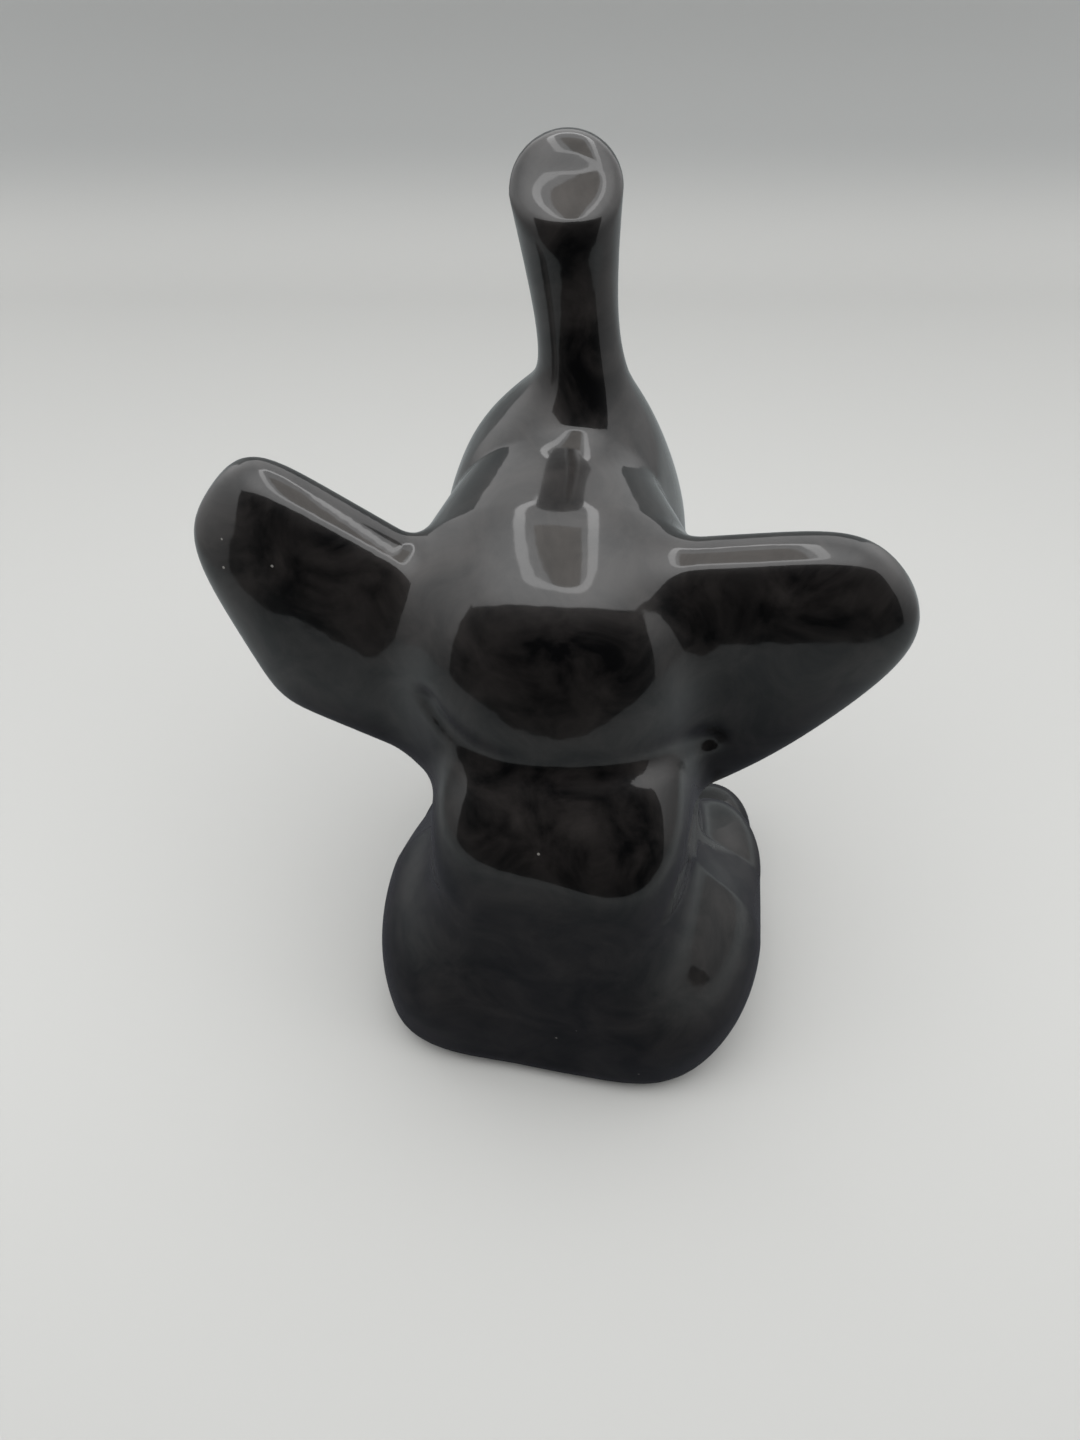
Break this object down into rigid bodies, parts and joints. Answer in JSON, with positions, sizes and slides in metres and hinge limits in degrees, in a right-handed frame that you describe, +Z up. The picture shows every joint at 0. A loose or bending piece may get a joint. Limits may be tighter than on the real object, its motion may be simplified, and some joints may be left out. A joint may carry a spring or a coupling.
{
  "type": "ceramic elephant figurine",
  "caption": "Glazed ceramic ornament of a sitting elephant with a raised trunk and spread ears; it stands on its flat underside.",
  "frame": {"origin": "on the surface it stands on, under the middle of its bounding box", "axes": "+Z up, the elephant's back faces +Y, its face looks along -Y, +X is its own left"},
  "size_m": [0.0824, 0.0644, 0.1135],
  "materials": {
    "black_glaze": "very dark brown-black glossy glaze with faint mottling, fired over white ware; the foot rim is wiped bare"
  },
  "bodies": {
    "root": {"elephant_figurine": "black_glaze"}
  },
  "joints": []
}
